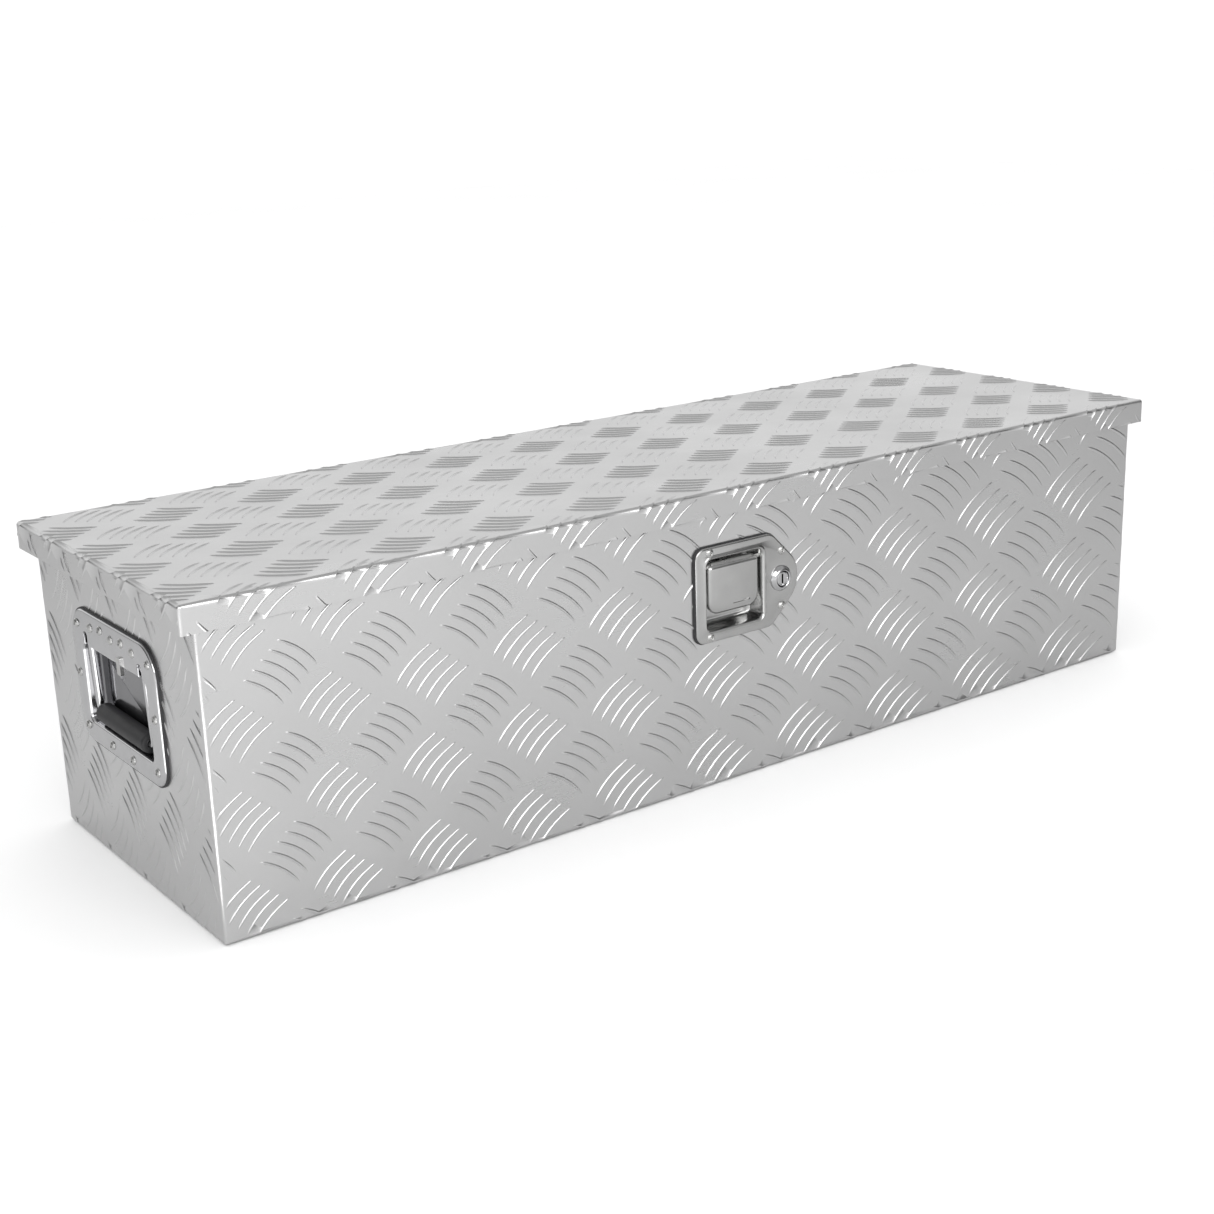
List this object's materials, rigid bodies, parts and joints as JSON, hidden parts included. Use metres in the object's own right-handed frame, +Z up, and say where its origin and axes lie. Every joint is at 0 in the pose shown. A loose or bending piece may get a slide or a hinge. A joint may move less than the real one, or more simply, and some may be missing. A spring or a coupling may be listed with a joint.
{
  "type": "truck tool box",
  "caption": "Low aluminium tread-plate chest with a hinged overhanging lid, recessed paddle latch with key lock, and a drop handle on each end.",
  "frame": {"origin": "middle of the base", "axes": "+X along the length, towards the right end seen from the latch side; +Y from the latch side to the hinge side; +Z up"},
  "size_m": [1, 0.308, 0.256],
  "materials": {
    "tread_aluminium": "bright rolled tread plate with raised bars",
    "plain_aluminium": "mill finish sheet",
    "stainless": "satin stainless steel",
    "chrome": "bright polished plating",
    "zinc": "bright zinc plating",
    "black_rubber": "matt black rubber",
    "black_paint": "gloss black paint"
  },
  "bodies": {
    "box": {"body_shell": "tread_aluminium", "end_panel_left": "tread_aluminium", "end_panel_right": "tread_aluminium", "weather_seal": "black_rubber", "hinge_leaf_body": "stainless", "hinge_pin": "stainless", "strut_foot_left": "zinc", "strut_foot_right": "zinc", "latch_plate": "stainless", "latch_gasket": "black_rubber", "paddle_pin": "zinc", "paddle_spring": "zinc", "latch_bracket": "zinc", "hook_pin": "zinc", "lock_barrel": "chrome", "lock_nut": "zinc", "latch_rivet_1": "zinc", "latch_rivet_2": "zinc", "latch_rivet_3": "zinc", "latch_rivet_4": "zinc", "handle_plate_left": "chrome", "handle_gasket_left": "black_rubber", "handle_bracket_left": "zinc", "handle_rivet_left_1": "zinc", "handle_rivet_left_2": "zinc", "handle_rivet_left_3": "zinc", "handle_rivet_left_4": "zinc", "handle_rivet_left_5": "zinc", "handle_rivet_left_6": "zinc", "handle_rivet_left_7": "zinc", "handle_rivet_left_8": "zinc", "handle_plate_right": "chrome", "handle_gasket_right": "black_rubber", "handle_bracket_right": "zinc", "handle_rivet_right_1": "zinc", "handle_rivet_right_2": "zinc", "handle_rivet_right_3": "zinc", "handle_rivet_right_4": "zinc", "handle_rivet_right_5": "zinc", "handle_rivet_right_6": "zinc", "handle_rivet_right_7": "zinc", "handle_rivet_right_8": "zinc"},
    "lid": {"lid_pan": "tread_aluminium", "lid_stiffener": "plain_aluminium", "hinge_leaf_lid": "stainless", "lid_striker": "zinc", "strut_head_left": "zinc", "strut_head_right": "zinc"},
    "paddle": {"paddle": "stainless"},
    "hook": {"latch_hook": "zinc"},
    "lock": {"lock_plug": "chrome", "lock_cam": "zinc"},
    "bail_left": {"bail_left": "chrome", "grip_left": "black_rubber"},
    "bail_right": {"bail_right": "chrome", "grip_right": "black_rubber"},
    "strut_cylinder_left": {"strut_cylinder_left": "black_paint"},
    "strut_cylinder_right": {"strut_cylinder_right": "black_paint"},
    "strut_rod_left": {"strut_rod_left": "chrome"},
    "strut_rod_right": {"strut_rod_right": "chrome"}
  },
  "joints": [
    {"name": "lid_hinge", "type": "hinge", "parent": "box", "child": "lid", "pos_m": [0, 0.1511, 0.2307], "axis": [-1, 0, 0], "range_deg": [0, 75]},
    {"name": "strut_swing_left", "type": "hinge", "parent": "box", "child": "strut_cylinder_left", "pos_m": [-0.456, 0.118, 0.183], "axis": [-1, 0, 0], "range_deg": [0, 68.06]},
    {"name": "strut_stroke_left", "type": "slide", "parent": "strut_cylinder_left", "child": "strut_rod_left", "axis": [0, -0.9361, 0.3518], "range_m": [0, 0.06672]},
    {"name": "strut_swing_right", "type": "hinge", "parent": "box", "child": "strut_cylinder_right", "pos_m": [0.456, 0.118, 0.183], "axis": [-1, 0, 0], "range_deg": [0, 68.06]},
    {"name": "strut_stroke_right", "type": "slide", "parent": "strut_cylinder_right", "child": "strut_rod_right", "axis": [0, -0.9361, 0.3518], "range_m": [0, 0.06672]},
    {"name": "paddle_pull", "type": "hinge", "parent": "box", "child": "paddle", "pos_m": [-0.0163, -0.1439, 0.1904], "axis": [-1, 0, 0], "range_deg": [0, 35], "stiffness_Nm_per_rad": 0.2, "springref_deg": -17.19},
    {"name": "hook_pivot", "type": "hinge", "parent": "box", "child": "hook", "pos_m": [-0.0163, -0.1054, 0.187], "axis": [1, 0, 0], "range_deg": [0, 18]},
    {"name": "lock_turn", "type": "hinge", "parent": "box", "child": "lock", "pos_m": [0.0337, -0.1504, 0.168], "axis": [0, 1, 0], "range_deg": [0, 90]},
    {"name": "bail_swing_left", "type": "hinge", "parent": "box", "child": "bail_left", "pos_m": [-0.4865, 0, 0.183], "axis": [0, 1, 0], "range_deg": [0, 88]},
    {"name": "bail_swing_right", "type": "hinge", "parent": "box", "child": "bail_right", "pos_m": [0.4865, 0, 0.183], "axis": [0, -1, 0], "range_deg": [0, 88]}
  ],
  "couplings": [
    {"joint": "strut_swing_left", "follows": "lid_hinge", "ratio": 0.90677},
    {"joint": "strut_stroke_left", "follows": "lid_hinge", "m_per_rad": 0.05089},
    {"joint": "strut_swing_right", "follows": "lid_hinge", "ratio": 0.90677},
    {"joint": "strut_stroke_right", "follows": "lid_hinge", "m_per_rad": 0.05089},
    {"joint": "hook_pivot", "follows": "paddle_pull", "ratio": 0.51429}
  ]
}
